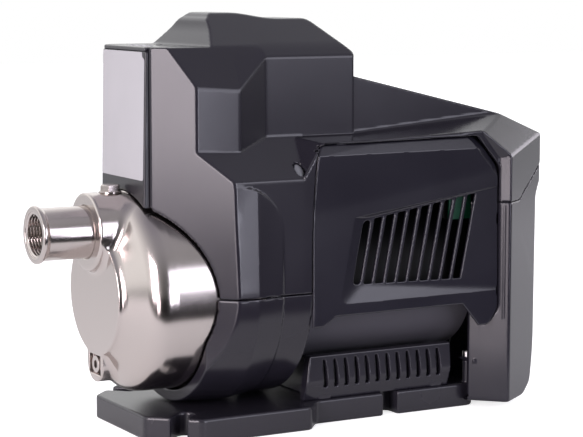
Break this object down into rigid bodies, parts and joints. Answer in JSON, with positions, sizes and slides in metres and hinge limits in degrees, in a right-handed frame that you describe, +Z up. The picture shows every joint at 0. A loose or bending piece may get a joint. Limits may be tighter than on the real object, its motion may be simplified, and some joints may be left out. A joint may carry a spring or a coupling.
{
  "type": "booster pump",
  "caption": "Mains booster pump: stainless domed head with a threaded suction tube, moulded black housing with a slanted side grille, cut corner base.",
  "frame": {"origin": "centre of the bounding box at the floor", "axes": "+X from the suction port towards the rear cover, +Z up, -Y towards the long side in view"},
  "size_m": [0.412, 0.1772, 0.309],
  "materials": {
    "moulding": "fine grained charcoal moulding",
    "dark_moulding": "satin charcoal moulding",
    "front_moulding": "grey moulding",
    "plate_film": "pale film",
    "window": "dark gloss",
    "board": "green laminate",
    "lens": "frosted lens",
    "stainless": "polished stainless",
    "seal_rubber": "matt black",
    "pump_plastic": "natural filled plastic",
    "screw_steel": "machined",
    "cast_alloy": "as cast",
    "ceramic": "lapped",
    "motor_paint": "black paint",
    "laminations": "varnished laminations",
    "copper": "enamelled copper",
    "capacitor_sleeve": "sleeve",
    "sink_alloy": "extruded",
    "terminal_plastic": "pale grey",
    "brass_fitting": "machined",
    "key_plastic": "pale grey"
  },
  "bodies": {
    "housing": {"base_plate": "moulding", "lower_shroud": "moulding", "upper_shroud": "moulding", "front_panel": "front_moulding", "rating_plate": "plate_film", "control_panel": "dark_moulding", "display_window": "window", "key_board": "board", "vent_panel_near": "dark_moulding", "vent_panel_far": "dark_moulding", "rear_cover": "moulding", "ribbed_cradle": "moulding", "status_lens": "lens", "pump_casing": "stainless", "suction_tube": "stainless", "discharge_tube": "stainless", "dome_gasket": "seal_rubber", "diffusers": "pump_plastic", "back_plate": "stainless", "casing_screws": "screw_steel", "motor_adapter": "cast_alloy", "seal_seat": "ceramic", "valve_cage": "pump_plastic", "motor_casing": "motor_paint", "stator_core": "laminations", "windings": "copper", "front_shield": "cast_alloy", "rear_shield": "cast_alloy", "bearing_outer_rings": "screw_steel", "power_board": "board", "capacitors": "capacitor_sleeve", "heat_sink": "sink_alloy", "terminal_block": "terminal_plastic", "cable_gland": "dark_moulding", "pressure_sensor": "brass_fitting", "cover_screws": "screw_steel", "valve_spring": "screw_steel", "key_spring_near": "screw_steel", "key_spring_middle": "screw_steel", "key_spring_far": "screw_steel"},
    "rotor": {"motor_shaft": "screw_steel", "rotor_core": "laminations", "bearing_inner_rings": "screw_steel", "impellers": "pump_plastic", "seal_head": "seal_rubber", "cooling_fan": "dark_moulding"},
    "valve": {"valve_poppet": "pump_plastic"},
    "near_key": {"key_near": "key_plastic"},
    "middle_key": {"key_middle": "key_plastic"},
    "far_key": {"key_far": "key_plastic"},
    "vent_plug_body": {"vent_plug": "stainless"},
    "drain_plug_body": {"drain_plug": "stainless"}
  },
  "joints": [
    {"name": "rotor_spin", "type": "hinge", "parent": "housing", "child": "rotor", "pos_m": [-0.006, 0, 0.103], "axis": [1, 0, 0], "continuous": true},
    {"name": "valve_lift", "type": "slide", "parent": "housing", "child": "valve", "axis": [1, 0, 0], "range_m": [0, 0.008], "stiffness_N_per_m": 60, "deforming": ["valve_spring"]},
    {"name": "near_press", "type": "slide", "parent": "housing", "child": "near_key", "axis": [0, 0, -1], "range_m": [0, 0.0008], "stiffness_N_per_m": 400, "springref_m": -0.0004, "deforming": ["key_spring_near"]},
    {"name": "middle_press", "type": "slide", "parent": "housing", "child": "middle_key", "axis": [0, 0, -1], "range_m": [0, 0.0008], "stiffness_N_per_m": 400, "springref_m": -0.0004, "deforming": ["key_spring_middle"]},
    {"name": "far_press", "type": "slide", "parent": "housing", "child": "far_key", "axis": [0, 0, -1], "range_m": [0, 0.0008], "stiffness_N_per_m": 400, "springref_m": -0.0004, "deforming": ["key_spring_far"]},
    {"name": "vent_plug_out", "type": "slide", "parent": "housing", "child": "vent_plug_body", "axis": [0, 0, 1], "range_m": [0, 0.012]},
    {"name": "drain_plug_out", "type": "slide", "parent": "housing", "child": "drain_plug_body", "axis": [-1, 0, 0], "range_m": [0, 0.016]}
  ]
}
